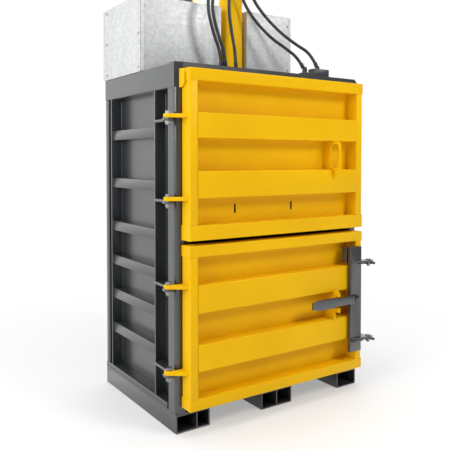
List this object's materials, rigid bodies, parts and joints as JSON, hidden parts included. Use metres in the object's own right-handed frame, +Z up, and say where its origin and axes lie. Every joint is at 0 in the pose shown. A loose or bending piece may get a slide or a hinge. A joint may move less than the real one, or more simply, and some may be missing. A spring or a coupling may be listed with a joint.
{
  "type": "recycling baler",
  "caption": "Vertical recycling baler: welded frame on skids, two ribbed front doors with a swing-bar lock, roof-mounted press cylinder and sheet-metal power unit housing.",
  "frame": {"origin": "on the floor, at the centre of the frame's footprint, under the press cylinder", "axes": "+X to the right as one faces the doors, +Y to the back, +Z up along the cylinder"},
  "size_m": [1.419, 1.122, 3.15],
  "materials": {
    "grey_paint": "satin grey enamel",
    "yellow_paint": "satin yellow enamel",
    "galvanised": "spangled zinc sheet",
    "zinc_steel": "zinc plated",
    "bare_steel": "machined",
    "hard_chrome": "polished",
    "motor_paint": "satin enamel",
    "black_plastic": "matte",
    "brass": "turned",
    "hose_rubber": "smooth black cover"
  },
  "bodies": {
    "frame": {"skid_left": "grey_paint", "skid_middle": "grey_paint", "skid_right": "grey_paint", "pressing_floor": "grey_paint", "base_rails": "grey_paint", "front_posts": "grey_paint", "rear_posts": "grey_paint", "side_fins": "grey_paint", "side_ribs_left": "grey_paint", "side_ribs_right": "grey_paint", "side_wall_left": "grey_paint", "side_wall_right": "grey_paint", "rear_wall": "grey_paint", "roof_beam_front": "grey_paint", "roof_side_beams": "grey_paint", "roof_beam_rear": "grey_paint", "roof_cross_beams": "grey_paint", "roof_sheet": "grey_paint", "hinge_brackets": "grey_paint", "hinge_bolts": "zinc_steel", "hinge_nuts": "zinc_steel", "lock_brackets": "grey_paint", "cylinder_mount_plate": "grey_paint", "cylinder_barrel": "yellow_paint", "cylinder_gland": "bare_steel", "cylinder_head_cap": "yellow_paint", "cylinder_mount_bolts": "zinc_steel", "housing_side_left": "galvanised", "housing_side_right": "galvanised", "housing_front": "galvanised", "housing_back": "galvanised", "housing_top": "galvanised", "housing_screws": "zinc_steel", "oil_tank": "galvanised", "tank_breather": "black_plastic", "motor_casing": "motor_paint", "fan_cover": "motor_paint", "pump_bell": "motor_paint", "oil_pump": "bare_steel", "cylinder_head_block": "zinc_steel", "roof_port_block": "grey_paint", "hose_fittings": "brass", "hose_left_outer": "hose_rubber", "hose_left_inner": "hose_rubber", "hose_front": "hose_rubber", "hose_right_inner": "hose_rubber", "hose_right_outer": "hose_rubber"},
    "upper_door": {"upper_door": "yellow_paint", "upper_door_keeper": "yellow_paint"},
    "lower_door": {"lower_door": "yellow_paint", "lower_door_keeper": "yellow_paint"},
    "lock_bar": {"lock_bar": "grey_paint", "lock_bar_pins": "zinc_steel", "lock_lever_pin": "zinc_steel"},
    "lock_lever": {"lock_lever": "grey_paint"},
    "ram": {"piston": "bare_steel", "piston_rod": "hard_chrome", "pressing_platen": "grey_paint"},
    "rotor": {"motor_rotor": "bare_steel", "cooling_fan": "black_plastic"}
  },
  "joints": [
    {"name": "upper_door_swing", "type": "hinge", "parent": "frame", "child": "upper_door", "pos_m": [-0.709, -0.46, 1.486], "axis": [0, 0, -1], "range_deg": [0, 180]},
    {"name": "lower_door_swing", "type": "hinge", "parent": "frame", "child": "lower_door", "pos_m": [-0.709, -0.46, 0.5725], "axis": [0, 0, -1], "range_deg": [0, 180]},
    {"name": "lock_bar_swing", "type": "hinge", "parent": "lower_door", "child": "lock_bar", "pos_m": [0.65, -0.602, 0.59], "axis": [0, 0, 1], "range_deg": [0, 180]},
    {"name": "lock_lever_swing", "type": "hinge", "parent": "lock_bar", "child": "lock_lever", "pos_m": [0.524, -0.583, 0.6], "axis": [0, 0, 1], "range_deg": [0, 90]},
    {"name": "ram_travel", "type": "slide", "parent": "frame", "child": "ram", "axis": [0, 0, -1], "range_m": [0, 0.92]},
    {"name": "motor_spin", "type": "hinge", "parent": "frame", "child": "rotor", "pos_m": [0, 0.3, 2.15], "axis": [1, 0, 0], "continuous": true}
  ]
}
